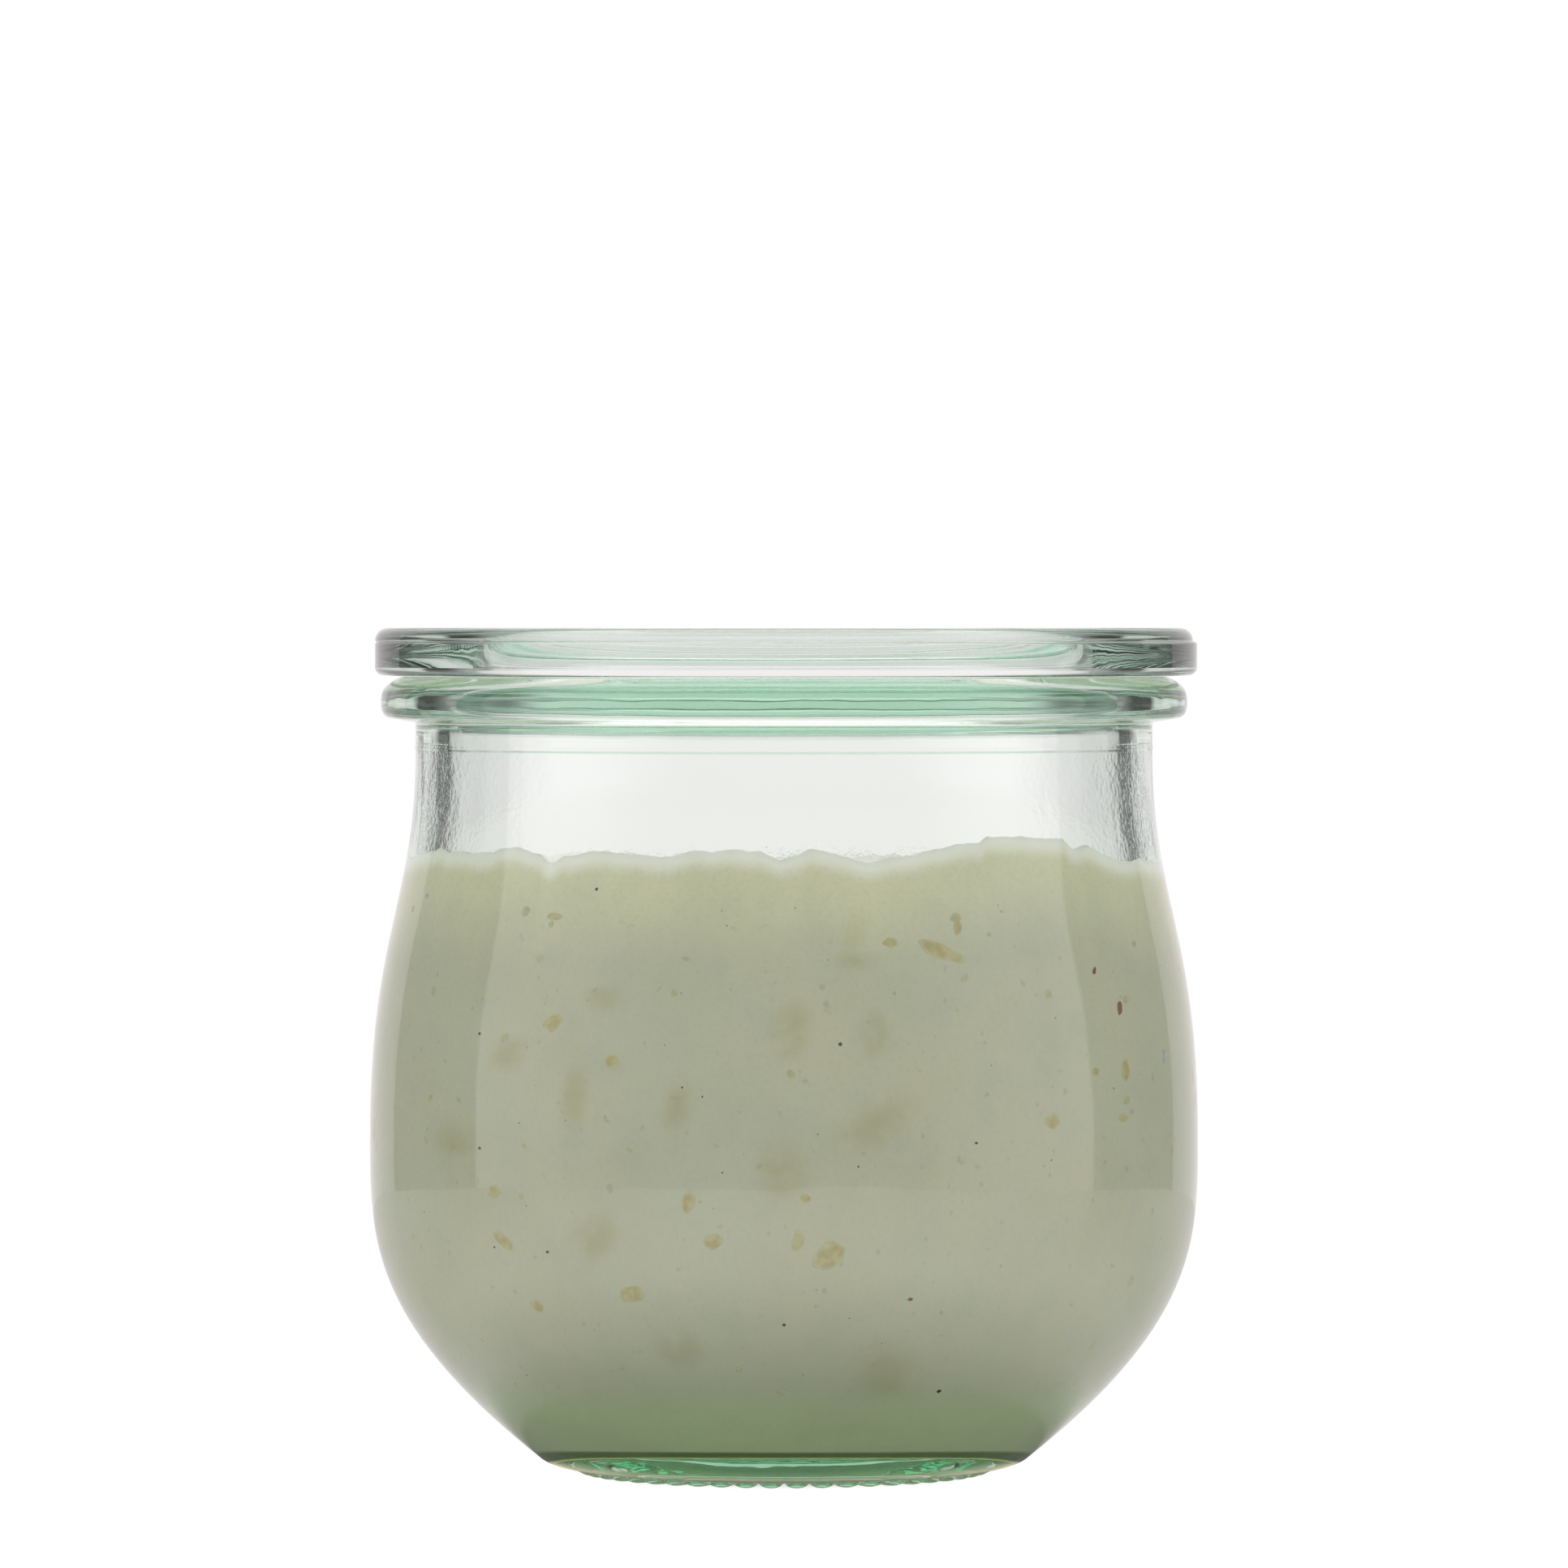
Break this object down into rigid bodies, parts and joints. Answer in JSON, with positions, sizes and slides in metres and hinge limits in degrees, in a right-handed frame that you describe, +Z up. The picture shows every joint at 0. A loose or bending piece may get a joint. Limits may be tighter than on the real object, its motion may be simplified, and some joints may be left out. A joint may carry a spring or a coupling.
{
  "type": "tulip canning jar",
  "caption": "Small tulip-shaped preserving jar of pressed glass with a loose glass lid, filled with a pale savoury spread.",
  "frame": {"origin": "centre of the base, on the surface that the jar stands on", "axes": "+Z up along the jar's axis, towards the lid; -Y is the side that faces the camera"},
  "size_m": [0.0908, 0.0908, 0.0925],
  "materials": {
    "jar_glass": "clear pressed glass with a pale green tint where it is thick",
    "lid_glass": "clear pressed glass with a pale green tint where it is thick",
    "spread": "pale grey-green savoury spread, moist, with beige bits and dark specks"
  },
  "bodies": {
    "root": {"glass_jar": "jar_glass", "glass_lid": "lid_glass", "spread_filling": "spread"}
  },
  "joints": []
}
